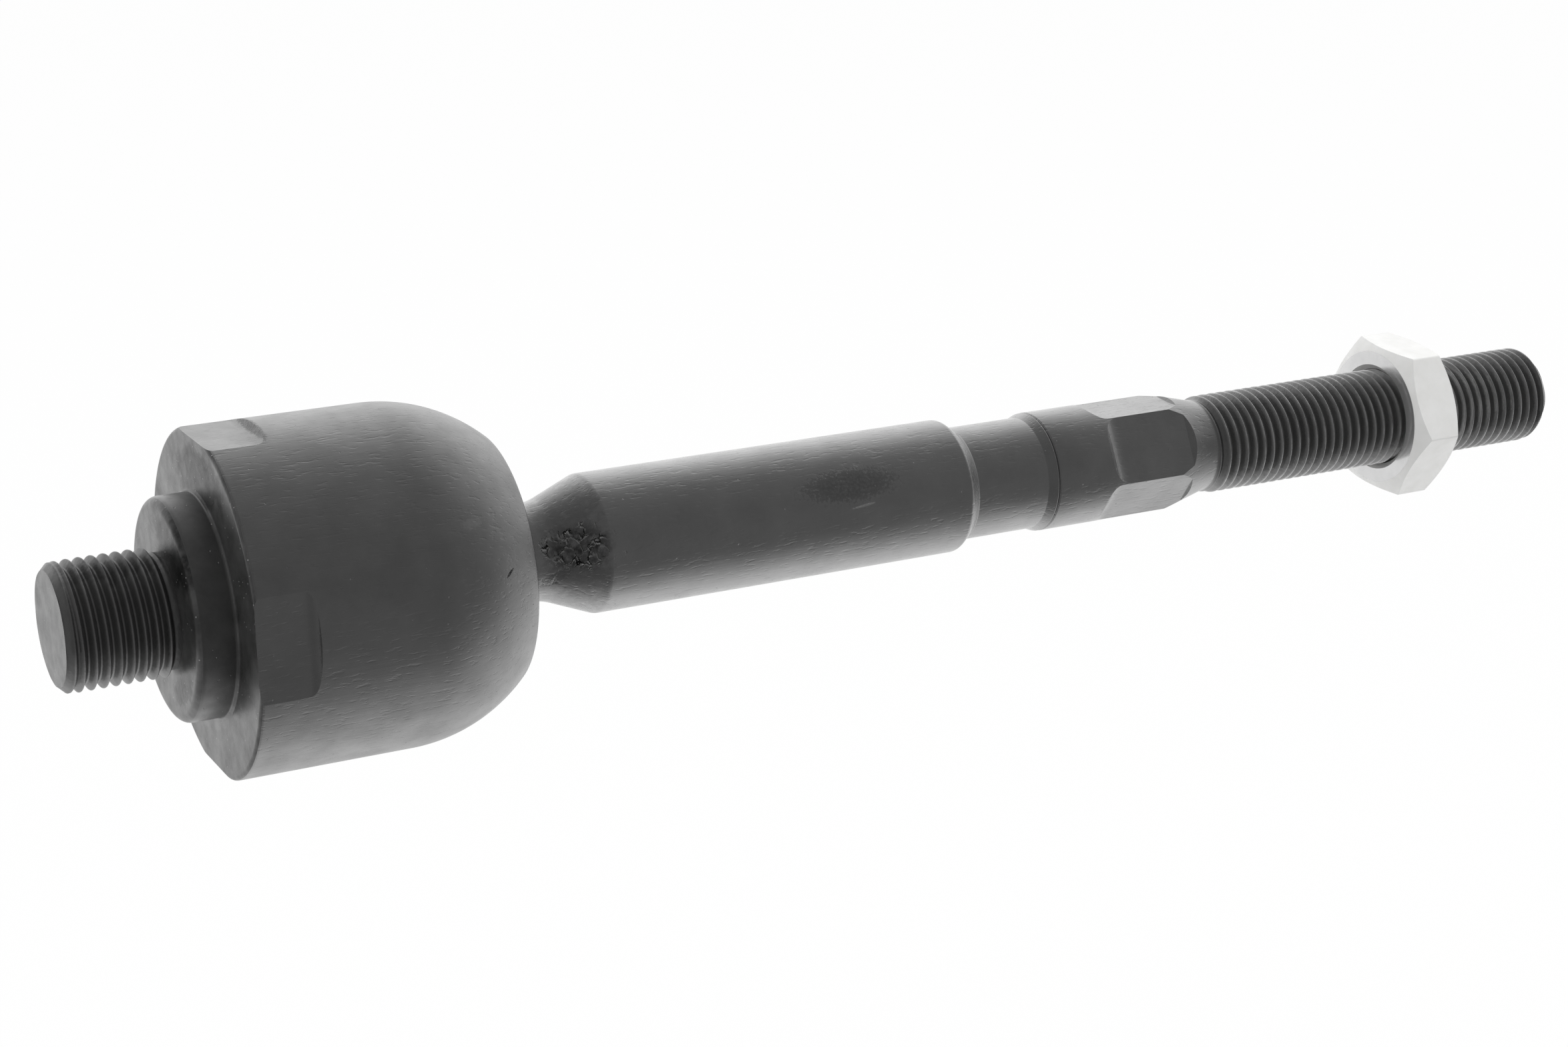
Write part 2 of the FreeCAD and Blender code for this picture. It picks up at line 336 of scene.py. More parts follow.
def paint(shape, finish_of):
    """Give each face the material number that a rule finds from its middle and normal."""
    for face in shape.faces:
        centre = face.calc_center_median()
        face.material_index = finish_of(centre, math.hypot(centre.y, centre.z), face.normal)


def finish_piece(shape, name, body, node, materials):
    """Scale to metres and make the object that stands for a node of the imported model."""
    bmesh.ops.scale(shape, vec=(MM, MM, MM), verts=shape.verts[:])
    mesh = bpy.data.meshes.new(name)
    shape.to_mesh(mesh)
    for material in materials:
        mesh.materials.append(material)
    piece = link_object(name, mesh)
    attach(piece, body)
    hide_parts(node)
    open_edges = sum(edge.is_boundary for edge in shape.edges)
    wild_edges = sum(not edge.is_manifold for edge in shape.edges)
    triangles = sum(len(face.verts) - 2 for face in shape.faces)
    print(name, "triangles", triangles, "open", open_edges, "not manifold", wild_edges,
          "volume in cm3", round(shape.calc_volume() * 1e6, 2))


# %% [markdown]
# Now the materials. One function turns an sRGB hex colour to linear light, and one adds a node
# with its settings and links.

# %% Nodes and materials
def linear(hex_colour):
    """An sRGB colour such as #8a8a8a as linear red, green, blue and alpha."""
    channels = []
    for place in (1, 3, 5):
        value = int(hex_colour[place:place + 2], 16) / 255
        channels.append(value / 12.92 if value <= 0.04045 else ((value + 0.055) / 1.055) ** 2.4)
    return (*channels, 1.0)


def add(tree, kind, inputs=None, **settings):
    """Add a node. An input is a plain value or another node's output."""
    made = tree.nodes.new(kind)
    for name, value in settings.items():
        setattr(made, name, value)
    for name, value in (inputs or {}).items():
        if isinstance(value, bpy.types.NodeSocket):
            tree.links.new(value, made.inputs[name])
        else:
            made.inputs[name].default_value = value
    return made


def new_material(name):
    """An empty material, its tree, and the piece's own coordinates."""
    material = bpy.data.materials.new(name)
    material.use_nodes = True
    tree = material.node_tree
    tree.nodes.clear()
    place = add(tree, "ShaderNodeTexCoord").outputs["Object"]
    print("material", name)
    return material, tree, place


def surface(tree, inputs):
    """The Principled shader with the given inputs, joined to the output."""
    shader = add(tree, "ShaderNodeBsdfPrincipled", inputs)
    add(tree, "ShaderNodeOutputMaterial", {"Surface": shader.outputs[0]})


# %% [markdown]
# The next functions make what every finish here needs: a value that wanders over patches, a mask
# that such patches break up, colours laid over each other, and relief laid over relief. So each
# material below reads as a list of what its surface has. The noise hardly ever leaves the middle
# of its range, so the patches stretch that middle to the two wanted levels.

# %% Patches, colours and relief
NOISE_LOW, NOISE_HIGH = 0.3, 0.7


def patches(tree, place, size_mm, low=0.0, high=1.0):
    """A value that wanders between two levels over patches of a size."""
    noise = add(tree, "ShaderNodeTexNoise", {
        "Vector": place, "Scale": 1 / (size_mm * MM), "Detail": 4.0, "Roughness": 0.6})
    return add(tree, "ShaderNodeMapRange", {
        "Value": noise.outputs[0], "From Min": NOISE_LOW, "From Max": NOISE_HIGH,
        "To Min": low, "To Max": high}).outputs[0]


def broken_up(tree, mask, place, size_mm, low, high):
    """A mask that comes and goes over patches of a size."""
    level = patches(tree, place, size_mm, low, high)
    return add(tree, "ShaderNodeMath", {0: mask, 1: level}, operation="MULTIPLY").outputs[0]


def coloured(tree, colour, *layers):
    """A colour, hex or a node's output, with layers over it, each a share and a hex colour."""
    if isinstance(colour, str):
        colour = linear(colour)
    for share, hex_colour in layers:
        colour = add(tree, "ShaderNodeMix", {0: share, 6: colour, 7: linear(hex_colour)},
                     data_type="RGBA").outputs[2]
    return colour


def relief(tree, *layers, below=None):
    """Normals for layers of relief over each other, each a height pattern and its size in mm."""
    for pattern, height_mm in layers:
        inputs = {"Height": pattern, "Distance": height_mm * MM}
        if below:
            inputs["Normal"] = below
        below = add(tree, "ShaderNodeBump", inputs).outputs[0]
    return below


# %% [markdown]
# Cold-formed carbon steel under a thin grey phosphate coat, rubbed to a soft satin. A metal shows
# only what it reflects, so its roughness does most of the work: it spreads the dark side of the
# studio into a long soft gradient. Forming leaves faint streaks and short shallow dents along the
# rod, which break the ends of that gradient up, and finer die lines. The coat has a grain of small
# crystals and a few pits. Lines and grain are finer than a pixel, so they are drawn 0.25 mm and
# 0.15 mm wide to show at all. Each pattern has its width, how far it is drawn out along X, and its
# height or depth.

# %% Forged steel
STREAK_MM, STREAK_STRETCH, STREAK_HEIGHT_MM = 0.9, 9, 0.016
DIE_LINE_MM, DIE_LINE_STRETCH, DIE_LINE_HEIGHT_MM = 0.25, 40, 0.008
DENT_MM, DENT_STRETCH, DENT_DEPTH_MM = 0.4, 4, 0.02
DENT_LOW, DENT_HIGH = 0.56, 0.72
GRAIN_MM, GRAIN_HEIGHT_MM = 0.15, 0.003
PIT_SPACING_MM, PIT_R_MM, PIT_DEPTH_MM = 2.2, 0.12, 0.1
PATCH_MM = 5.0


def lines_along(tree, place, width_mm, stretch):
    """A pattern of lines along X, each about one width across."""
    along = add(tree, "ShaderNodeMapping", {
        "Vector": place, "Scale": (1 / stretch, 1.0, 1.0)}).outputs[0]
    return add(tree, "ShaderNodeTexNoise", {
        "Vector": along, "Scale": 1 / (width_mm * MM), "Detail": 2.0}).outputs[0]


def specks(tree, place, spacing_mm, radius_mm):
    """Sparse dots, 1 in the middle of a dot and 0 between them."""
    distance = add(tree, "ShaderNodeTexVoronoi", {
        "Vector": place, "Scale": 1 / (spacing_mm * MM)}).outputs["Distance"]
    return add(tree, "ShaderNodeMapRange", {
        "Value": distance, "From Min": 0.0, "From Max": radius_mm / spacing_mm,
        "To Min": 1.0, "To Max": 0.0}).outputs[0]


def forged_skin(tree, place):
    """Normals of a forged and phosphated surface."""
    dents = add(tree, "ShaderNodeMapRange", {
        "Value": lines_along(tree, place, DENT_MM, DENT_STRETCH),
        "From Min": DENT_LOW, "From Max": DENT_HIGH}).outputs[0]
    grain = add(tree, "ShaderNodeTexNoise", {
        "Vector": place, "Scale": 1 / (GRAIN_MM * MM), "Detail": 1.0}).outputs[0]
    return relief(
        tree, (lines_along(tree, place, STREAK_MM, STREAK_STRETCH), STREAK_HEIGHT_MM),
        (lines_along(tree, place, DIE_LINE_MM, DIE_LINE_STRETCH), DIE_LINE_HEIGHT_MM),
        (dents, -DENT_DEPTH_MM), (grain, GRAIN_HEIGHT_MM),
        (specks(tree, place, PIT_SPACING_MM, PIT_R_MM), -PIT_DEPTH_MM))


# %% [markdown]
# The part is new but handled: a nick on the dome, a scratch and some rubbing on the shaft, and a
# patch on the cone where the forged skin has flaked, darkened further as a painted dark reflection.
# Some marks are painted shade instead of wear: a darker band in the run-out of the top wrench flat
# and a darker upper side of the stud thread. A mark is kept to its place by the distance from its
# middle, measured in a box turned along the mark and roughened by noise.

# %% Worn marks
RAGGEDNESS = 0.35
FULL_WITHIN = 0.7


def spot(tree, place, centre_mm, half_sizes_mm, turn_deg, ragged_mm):
    """A mask that is 1 inside a ragged blob round a point of the piece, and 0 outside it."""
    inside = add(tree, "ShaderNodeMapping", {
        "Vector": place, "Location": [value * MM for value in centre_mm],
        "Rotation": [math.radians(value) for value in turn_deg],
        "Scale": [value * MM for value in half_sizes_mm]}, vector_type="TEXTURE").outputs[0]
    length = add(tree, "ShaderNodeVectorMath", {0: inside}, operation="LENGTH").outputs["Value"]
    edge = patches(tree, place, ragged_mm, -RAGGEDNESS, RAGGEDNESS)
    ragged = add(tree, "ShaderNodeMath", {0: length, 1: edge}, operation="ADD").outputs[0]
    return add(tree, "ShaderNodeMapRange", {
        "Value": ragged, "From Min": FULL_WITHIN, "From Max": 1.0,
        "To Min": 1.0, "To Max": 0.0}).outputs[0]


def worn_and_painted_shade(tree, place, colour, normal, marks):
    """A surface's colour and normals after worn marks and painted shade were put at given places of
    the piece.
    """
    for centre, half_sizes, turn_deg, ragged, mark_colour, depth in marks:
        mask = spot(tree, place, centre, half_sizes, turn_deg, ragged)
        share = broken_up(tree, mask, place, ragged, 0.4, 1.2)
        colour = coloured(tree, colour, (share, mark_colour))
        normal = relief(tree, (share, -depth), below=normal)
    return colour, normal


# %% [markdown]
# Flaked skin is dark blotches and thin cracks, each with a painted highlight, a pale line, just
# below it. The cracks are the edges of Voronoi cells that noise pushes about, and the painted
# highlights are the same lines a little lower.

# %% Flaked skin
CRACK_CELL_MM = 1.8
CRACK_PUSH_CELLS = 2
CRACK_INNER, CRACK_OUTER = 0.02, 0.09
CRACK_DEPTH_MM = 0.12
CRACK_COLOUR = "#242424"
CRACK_HIGHLIGHT_DROP_MM = 0.22
CRACK_HIGHLIGHT_COLOUR = "#e4e4e4"
BLOTCH_MM = 1.4
BLOTCH_DEPTH_MM = 0.04


def cracks(tree, place, mask, drop_mm):
    """Thin broken lines between flakes of skin, inside a mask and moved down by a distance."""
    place = add(tree, "ShaderNodeVectorMath", {0: place, 1: (0.0, 0.0, drop_mm * MM)}).outputs[0]
    noise = add(tree, "ShaderNodeTexNoise", {
        "Vector": place, "Scale": 1 / (CRACK_CELL_MM * MM), "Detail": 3.0}).outputs["Color"]
    pushed = add(tree, "ShaderNodeVectorMath", {
        0: noise, 1: (CRACK_PUSH_CELLS * CRACK_CELL_MM * MM,) * 3, 2: place},
        operation="MULTIPLY_ADD").outputs[0]
    edge = add(tree, "ShaderNodeTexVoronoi", {
        "Vector": pushed, "Scale": 1 / (CRACK_CELL_MM * MM)},
        feature="DISTANCE_TO_EDGE").outputs["Distance"]
    line = add(tree, "ShaderNodeMapRange", {
        "Value": edge, "From Min": CRACK_INNER, "From Max": CRACK_OUTER,
        "To Min": 1.0, "To Max": 0.0}).outputs[0]
    line = broken_up(tree, line, place, CRACK_CELL_MM, -0.6, 1.6)
    return add(tree, "ShaderNodeMath", {0: mask, 1: line}, operation="MULTIPLY").outputs[0]


def flaked(tree, place, colour, normal, flakes):
    """A surface's colour and normals after its skin has flaked at given places of the piece, with a
    painted highlight under each crack.
    """
    for centre, half_sizes, turn_deg, bare in flakes:
        mask = spot(tree, place, centre, half_sizes, turn_deg, BLOTCH_MM)
        blotch = broken_up(tree, mask, place, BLOTCH_MM, -0.2, 1.2)
        crack = cracks(tree, place, mask, 0.0)
        crack_highlight = cracks(tree, place, mask, CRACK_HIGHLIGHT_DROP_MM)
        colour = coloured(
            tree, colour, (blotch, bare), (crack_highlight, CRACK_HIGHLIGHT_COLOUR), (crack, CRACK_COLOUR))
        normal = relief(tree, (blotch, -BLOTCH_DEPTH_MM), (crack, -CRACK_DEPTH_MM), below=normal)
    return colour, normal


# %% [markdown]
# Each mark is its middle, half sizes, turn, raggedness, colour and depth, with sizes in
# millimetres. A patch of flakes has the colour of the steel below them instead of the last three.
# The socket forging and the rod forging come from different bars, and the rod is the smoother one.

# %% Socket steel and rod steel
def phosphated_steel(name, pale, dark, rough_low, rough_high, marks, flakes=()):
    """Satin grey steel in two close greys, with worn marks and painted shade."""
    material, tree, place = new_material(name)
    colour = coloured(tree, pale, (patches(tree, place, PATCH_MM), dark))
    colour, normal = worn_and_painted_shade(tree, place, colour, forged_skin(tree, place), marks)
    colour, normal = flaked(tree, place, colour, normal, flakes)
    surface(tree, {
        "Base Color": colour, "Metallic": 1.0, "Normal": normal,
        "Roughness": patches(tree, place, PATCH_MM, rough_low, rough_high)})
    return material


DOME_NICK = ((37.4, -19.0, 4.1), (0.95, 0.4, 0.22), (0, -32, 34), 0.3, "#0c0c0c", 0.06)
DOME_SMUDGE = ((32.95, -18.2, 10.7), (1.6, 1.0, 0.7), (0, 0, 20), 0.5, "#aeaeae", 0.003)
# The mark at the end of the top wrench flat is painted shade: a darker band in its run-out.
FLAT_END_PAINTED_SHADE = ((12.3, 0, 21.5), (0.65, 6.5, 1.2), (0, 0, 0), 0.6, "#6c6c6c", 0.0)
SHAFT_SCRATCH = ((91.6, -8.85, 1.95), (2.1, 0.6, 0.16), (0, -6, 0), 0.4, "#e2e2e2", 0.02)
SHAFT_RUB = ((90.0, -7.6, 4.6), (7.5, 2.4, 2.4), (0, 0, 0), 0.4, "#8c8c8c", 0.02)
CONE_SCALE = ((52.0, 0, 0), (5.2, 12, 12), (0, 0, 0), 1.5, "#949494", 0.002)
# The cone's flaked patch is partly flaked skin and partly a painted dark reflection: its blotches
# are darkened and spread where the cone mirrors the room's dark side.
CONE_FLAKES_AND_DARK_REFLECTION = ((51.4, -7.2, 1.9), (5.2, 3.4, 3.2), (0, 0, 0), "#404040")
CONE_CRACK = ((48.9, -6.3, -1.5), (3.2, 1.8, 0.9), (0, -32, 0), "#8c8c8c")
socket_steel = phosphated_steel(
    "phosphated_forged_socket_steel", "#a6a6a6", "#999999", 0.32, 0.38,
    [DOME_NICK, DOME_SMUDGE, FLAT_END_PAINTED_SHADE])
rod_steel = phosphated_steel(
    "phosphated_drawn_rod_steel", "#b1b1b1", "#a6a6a6", 0.19, 0.24,
    [CONE_SCALE, SHAFT_RUB, SHAFT_SCRATCH], [CONE_FLAKES_AND_DARK_REFLECTION, CONE_CRACK])

# %% [markdown]
# The stud's end, the shoulder and the socket's rear were faced on a lathe, which leaves fine rings
# about the axis. Such faces are smoother than the forged skin, so they mirror the stud and the
# rod. The rings are 0.35 mm apart, a normal feed for a finishing cut. Handling has left them
# smudged, with small dents and smears of old oil beside the stud and the shoulder. The dents' glints
# are painted highlights: the dents are coloured white. The end faces have a duller coat, which
# keeps what they mirror from going black, so a part of them doesn't act as metal.

# %% Faced steel
FEED_MM, RING_HEIGHT_MM = 0.35, 0.002
WAVES_PER_UNIT = 20
SMUDGE_MM, TONE_MM = 2.2, 3.96
WAVINESS_MM, WAVINESS_HEIGHT_MM = 1.5, 0.006
GLINT_SPACING_MM, GLINT_R_MM, GLINT_DEPTH_MM = 1.2, 0.12, 0.1
# The dents are coloured this white as painted glints.
PAINTED_GLINT_COLOUR = "#ffffff"
REAR_SMEAR = ((5.0, -1.5, 16.4), (3.0, 11.0, 4.4), (-4, 0, 0), 3.0, "#222222", 0.0)
UPPER_SMEAR = ((0.0, -5.5, 9.0), (3.0, 8.5, 4.4), (14, 0, 0), 2.5, "#2a2a2a", 0.0)
LOWER_SMEAR = ((0.0, -6.4, -8.0), (2.0, 5.4, 2.0), (-30, 0, 0), 1.2, "#3c3c3c", 0.01)


def faced_steel(name, clear, smudged, metallic, rough_low, rough_high, marks=()):
    """Turned steel: rings about X, closer to a mirror than the forged skin, with dents coloured
    white as painted glints.
    """
    material, tree, place = new_material(name)
    rings = add(tree, "ShaderNodeTexWave", {
        "Vector": place, "Scale": math.tau / (FEED_MM * MM) / WAVES_PER_UNIT, "Distortion": 2.0,
        "Detail": 2.0, "Detail Scale": 1 / (2.0 * MM)},
        wave_type="RINGS", rings_direction="X").outputs["Fac"]
    waviness = patches(tree, place, WAVINESS_MM)
    dents_and_painted_glints = specks(tree, place, GLINT_SPACING_MM, GLINT_R_MM)
    normal = relief(tree, (rings, RING_HEIGHT_MM), (waviness, WAVINESS_HEIGHT_MM),
                    (dents_and_painted_glints, -GLINT_DEPTH_MM))
    colour = coloured(tree, clear, (patches(tree, place, TONE_MM), smudged))
    colour, normal = worn_and_painted_shade(tree, place, colour, normal, marks)
    surface(tree, {
        "Base Color": coloured(tree, colour, (dents_and_painted_glints, PAINTED_GLINT_COLOUR)), "Metallic": metallic,
        "Normal": normal, "Roughness": patches(tree, place, SMUDGE_MM, rough_low, rough_high)})
    return material


end_face_steel = faced_steel("faced_phosphated_steel", "#7c7c7c", "#555555", 0.8, 0.28, 0.38,
                             [REAR_SMEAR, UPPER_SMEAR, LOWER_SMEAR])
shoulder_steel = faced_steel("turned_phosphated_steel", "#868686", "#727272", 1.0, 0.28, 0.36)

# %% [markdown]
# Phosphate and oil gather in the grooves of a rolled thread, so it looks darker than its bar. A thin
# paler line runs along each crest: partly where the crest was rubbed, and partly a painted highlight
# of the crest's rounding. The change follows the distance from the rod's axis, so the paler crests
# stay on the surface when the light moves. A crest is never rubbed evenly, so the pale line comes
# and goes over patches of 2.5 mm. The stud's upper side is painted darker, as shade.

# %% Thread steel
RUBBED_AND_HIGHLIGHT_DEPTH_MM = 0.2
RUB_AND_HIGHLIGHT_MM = 2.5
NICK_MM, NICK_HEIGHT_MM = 0.8, 0.02
COAT_GRAIN_MM, COAT_GRAIN_HEIGHT_MM = 0.15, 0.006


def thread_steel(name, major_r, pale, dark, rubbed_and_highlight, rough_low, rough_high, marks=()):
    """Oiled dark thread, in two close greys, whose crests are paler: partly rubbed and partly a
    painted highlight.
    """
    material, tree, place = new_material(name)
    across = add(tree, "ShaderNodeVectorMath", {0: place, 1: (0.0, 1.0, 1.0)},
                 operation="MULTIPLY").outputs[0]
    radius = add(tree, "ShaderNodeVectorMath", {0: across}, operation="LENGTH").outputs["Value"]
    crest = add(tree, "ShaderNodeMapRange", {
        "Value": radius, "From Min": (major_r - RUBBED_AND_HIGHLIGHT_DEPTH_MM) * MM,
        "From Max": major_r * MM}).outputs[0]
    colour = coloured(tree, pale, (patches(tree, place, PATCH_MM), dark),
                      (broken_up(tree, crest, place, RUB_AND_HIGHLIGHT_MM, 0.1, 1.1), rubbed_and_highlight))
    grain = add(tree, "ShaderNodeTexNoise", {
        "Vector": place, "Scale": 1 / (COAT_GRAIN_MM * MM), "Detail": 1.0}).outputs[0]
    normal = relief(tree, (grain, COAT_GRAIN_HEIGHT_MM),
                    (patches(tree, place, NICK_MM), NICK_HEIGHT_MM))
    colour, normal = worn_and_painted_shade(tree, place, colour, normal, marks)
    surface(tree, {
        "Base Color": colour, "Metallic": 1.0, "Normal": normal,
        "Roughness": patches(tree, place, PATCH_MM, rough_low, rough_high)})
    return material


STUD_R = 8.0
OUTER_R = 7.0
# This mark is painted shade: the stud thread's upper side is drawn darker.
STUD_TOP_PAINTED_SHADE = ((-6.0, 0.5, 8.0), (9.0, 6.0, 4.4), (0, 0, 0), 2.0, "#606060", 0.0)
# The third grey of each thread, for its crests, is partly rubbed metal and partly a painted
# highlight.
stud_thread_steel = thread_steel(
    "rolled_stud_thread_steel", STUD_R, "#949494", "#828282", "#a0a0a0", 0.38, 0.46, [STUD_TOP_PAINTED_SHADE])
outer_thread_steel = thread_steel(
    "rolled_outer_thread_steel", OUTER_R, "#a2a2a2", "#8e8e8e", "#dcdcdc", 0.28, 0.34)

# %% [markdown]
# The jam nut is zinc plated: far paler than the phosphated rod. Its flats have the soft, dull
# white of plating over pressed steel, so only a part of them acts as metal. Its two end faces were
# turned before plating and mirror the thread behind them.

# %% Zinc plate
CLOUD_MM = 3.0


def zinc_plate(name, pale, dark, metallic, rough_low, rough_high, height_mm):
    """Bright plating whose grain and cloudy tone are those of the steel below it."""
    material, tree, place = new_material(name)
    grain = add(tree, "ShaderNodeTexNoise", {
        "Vector": place, "Scale": 1 / (GRAIN_MM * MM), "Detail": 2.0}).outputs[0]
    surface(tree, {
        "Base Color": coloured(tree, pale, (patches(tree, place, CLOUD_MM), dark)),
        "Metallic": metallic, "Normal": relief(tree, (grain, height_mm)),
        "Roughness": patches(tree, place, CLOUD_MM, rough_low, rough_high)})
    return material


dull_zinc = zinc_plate("dull_zinc_plate", "#f1f1f0", "#eaeae8", 0.3, 0.38, 0.46, 0.003)
bright_zinc = zinc_plate("bright_zinc_plate", "#f0f0f0", "#e6e6e6", 0.85, 0.12, 0.17, 0.0004)

# %% [markdown]
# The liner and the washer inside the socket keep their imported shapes, and only a ring of the front
# shell shows, in the mouth round the rod's neck. It is acetal, a hard white plastic that lets a
# little light in, with a faint grain from its mould. The washer is blued spring steel.

# %% Acetal and spring steel
ACETAL_IOR = 1.48
ACETAL_ROUGHNESS = 0.42
ACETAL_TONE_MM = 4.0
MOULD_GRAIN_MM, MOULD_GRAIN_HEIGHT_MM = 0.4, 0.004
OXIDE_MM = 3.0
ROLLED_LINE_HEIGHT_MM = 0.003


def acetal():
    """Moulded white plastic, waxy and smooth, with a tone that drifts a little."""
    material, tree, place = new_material("moulded_acetal")
    tone = patches(tree, place, ACETAL_TONE_MM)
    grain = add(tree, "ShaderNodeTexNoise", {
        "Vector": place, "Scale": 1 / (MOULD_GRAIN_MM * MM), "Detail": 2.0}).outputs[0]
    surface(tree, {
        "Base Color": coloured(tree, "#e9e6dc", (tone, "#e0dccf")), "IOR": ACETAL_IOR,
        "Roughness": ACETAL_ROUGHNESS, "Normal": relief(tree, (grain, MOULD_GRAIN_HEIGHT_MM))})
    return material


def spring_steel():
    """Tempered steel with a brown-blue oxide that varies over its surface."""
    material, tree, place = new_material("tempered_spring_steel")
    tone = patches(tree, place, OXIDE_MM)
    lines = lines_along(tree, place, DIE_LINE_MM, DIE_LINE_STRETCH)
    surface(tree, {
        "Base Color": coloured(tree, "#5c6370", (tone, "#6e665c")), "Metallic": 1.0,
        "Roughness": patches(tree, place, OXIDE_MM, 0.25, 0.35),
        "Normal": relief(tree, (lines, ROLLED_LINE_HEIGHT_MM))})
    return material


liner_acetal = acetal()
washer_steel = spring_steel()
for node, material in (("bearing_shell", liner_acetal), ("seat_cup", liner_acetal),
                       ("disc_spring", washer_steel)):
    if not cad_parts[node].material_slots:
        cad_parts[node].data.materials.append(material)
    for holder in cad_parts[node].material_slots:
        holder.material = material

# %% [markdown]
# The socket is one forging: rack stud, round shoulder, cylinder and the dome that is swaged over
# the ball. Its outline runs from the stud's root over the outside, in through the mouth and round
# the ball's chamber. The chamber is kept, because the mouth is open and the liner shows in it.

# %% Socket: turned body
BALL_X = 27.6
STUD_BLANK_R = 7.2
SHOULDER_R = 13.9
SHOULDER_END_X = 5.0
SOCKET_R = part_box("socket")[1].z / MM
BORE_R = 16.4
BORE_FLOOR_X = 9.6
MOUTH_R = 12.2
MOUTH_FLARE = 1.1
LIP_LENGTH = 3.84
SHOULDER_EDGE_R = 1.2
SHOULDER_ROOT_R = 0.5
REAR_EDGE_R = 0.6
LIP_EDGE_R = 1.1
DOME_STEPS = 24
CHAMBER_STEPS = 16


def socket_body():
    """The closed body of the socket, with a flat cap where its stud will stand."""
    mouth_reach = reach(BORE_R, MOUTH_R)
    lip_reach = mouth_reach + LIP_LENGTH
    lip_r = reach(SOCKET_R, lip_reach)
    pen = Pen(0, 0)
    pen.line((0, STUD_BLANK_R), (0, SHOULDER_R), (SHOULDER_END_X, SHOULDER_R),
             (SHOULDER_END_X, SOCKET_R), (BALL_X, SOCKET_R))
    pen.arc(BALL_X, math.degrees(math.asin(lip_reach / SOCKET_R)), DOME_STEPS)
    pen.line((BALL_X + lip_reach, MOUTH_R + MOUTH_FLARE), (BALL_X + mouth_reach, MOUTH_R))
    pen.arc(BALL_X, -math.degrees(math.asin(mouth_reach / BORE_R)), CHAMBER_STEPS)
    pen.line((BORE_FLOOR_X, BORE_R), (BORE_FLOOR_X, 0))
    pen.round(SHOULDER_EDGE_R, (0, SHOULDER_R))
    pen.round(SHOULDER_ROOT_R, (SHOULDER_END_X, SHOULDER_R))
    pen.round(REAR_EDGE_R, (SHOULDER_END_X, SOCKET_R))
    pen.round(LIP_EDGE_R, (BALL_X + lip_reach, lip_r))
    return turned(pen.shape)


socket_shape = socket_body()
print("socket body has", len(socket_shape.faces), "faces")

# %% [markdown]
# Four shallow flats at the socket's rear take a wrench. An end mill cut them, so each one ends in
# rounded corners and a wide run-out radius, and the flat passes softly into the cylinder. The tool
# is a block with those roundings bevelled on, repeated at quarter turns, and one boolean takes all
# four. It is wider than a flat by the run-out, so that only the end of a flat has the radius.

# %% Socket: wrench flats
FLAT_DEPTH = 1.0
FLAT_LENGTH = 7.6
FLAT_CORNER_R = 2.0
FLAT_RUNOUT_R = 1.4
TOOL_HEIGHT = 5.0


def round_edges(shape, edges, radius, steps=ROUND_STEPS):
    """Round edges of a body by a radius."""
    bmesh.ops.bevel(shape, geom=edges, offset=radius, offset_type="OFFSET", affect="EDGES",
                    segments=steps, profile=0.5, material=-1)


def flats_tool():
    """Four blocks, one for each wrench flat."""
    level = SOCKET_R - FLAT_DEPTH
    width = 2 * (reach(SOCKET_R, level) + FLAT_RUNOUT_R)
    length = FLAT_LENGTH + TOOL_HEIGHT
    end_x = SHOULDER_END_X + FLAT_LENGTH
    tool = bmesh.new()
    bmesh.ops.create_cube(tool, size=1)
    bmesh.ops.scale(tool, vec=(length, width, TOOL_HEIGHT), verts=tool.verts[:])
    bmesh.ops.translate(
        tool, vec=(end_x - length / 2, 0, level + TOOL_HEIGHT / 2), verts=tool.verts[:])
    upright = [edge for edge in tool.edges
               if all(abs(vertex.co.x - end_x) < SAME for vertex in edge.verts)
               and abs(edge.verts[0].co.z - edge.verts[1].co.z) > SAME]
    round_edges(tool, upright, FLAT_CORNER_R)
    floor_edges = [edge for edge in tool.edges
                   if all(abs(vertex.co.z - level) < SAME for vertex in edge.verts)
                   and any(vertex.co.x > end_x - length + SAME for vertex in edge.verts)]
    round_edges(tool, floor_edges, FLAT_RUNOUT_R)
    one = tool.verts[:] + tool.edges[:] + tool.faces[:]
    for quarter in (1, 2, 3):
        copied = bmesh.ops.duplicate(tool, geom=one)["geom"]
        bmesh.ops.rotate(
            tool, cent=(0, 0, 0), verts=vertices_in(copied),
            matrix=Matrix.Rotation(quarter * math.pi / 2, 3, ROD_AXIS))
    bmesh.ops.recalc_face_normals(tool, faces=tool.faces[:])
    return tool


socket_shape = cut(socket_shape, flats_tool())
clean(socket_shape)
print("socket with flats has", len(socket_shape.faces), "faces")

# %% [markdown]
# The rack stud carries an M16 thread of 1.5 mm pitch, cut right up to the shoulder, where it runs
# out in the last millimetre. The finishes follow how each face was made: threads are dark, the
# faces that the lathe squared off are turned steel, and all else keeps its forged skin.

# %% Socket: stud thread and finish
FORGED, FACED, THREADED, TURNED = 0, 1, 2, 3
SQUARE_ON = 0.99
STEEP = 0.5
REAR_RIM_MM = 0.3
STUD_END_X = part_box("socket")[0].x / MM
STUD_END_R = 7.1
STUD_THREAD_END_X = -0.3
STUD_FADE_MM = 1.0


def socket_finish(centre, radius, normal):
    """Material number for a face of the socket."""
    if centre.x < -SAME:
        return FACED if normal.x < -SQUARE_ON else THREADED
    if centre.x < SHOULDER_END_X + REAR_RIM_MM and radius > STUD_BLANK_R:
        return FACED if normal.x < -STEEP else TURNED
    return FORGED


